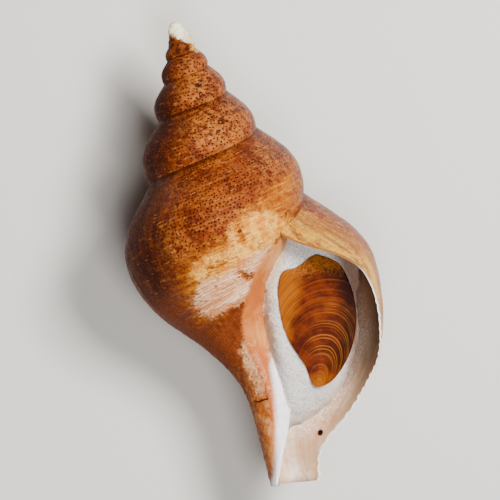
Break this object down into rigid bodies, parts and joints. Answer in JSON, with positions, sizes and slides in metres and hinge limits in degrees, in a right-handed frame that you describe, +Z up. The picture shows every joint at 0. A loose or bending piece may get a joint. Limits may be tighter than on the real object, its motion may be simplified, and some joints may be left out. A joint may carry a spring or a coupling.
{
  "type": "neptune whelk shell with operculum",
  "caption": "Spiral whelk shell lying mouth up, its horny operculum laid in the mouth on a pad of cotton wool.",
  "frame": {"origin": "on the resting plane, under the middle of the whole specimen's box", "axes": "+Y along the shell's coiling axis towards the apex, +Z up out of the shell's mouth, +X towards the outer lip"},
  "size_m": [0.0589, 0.1169, 0.0519],
  "materials": {
    "shell": "satin, thin brown skin over chalky shell, glossy inside the mouth",
    "operculum": "horny, satin, fine growth lines",
    "cotton_wool": "matte loose fibres"
  },
  "bodies": {
    "root": {"shell": "shell", "operculum": "operculum", "cotton_wad": "cotton_wool"}
  },
  "joints": []
}
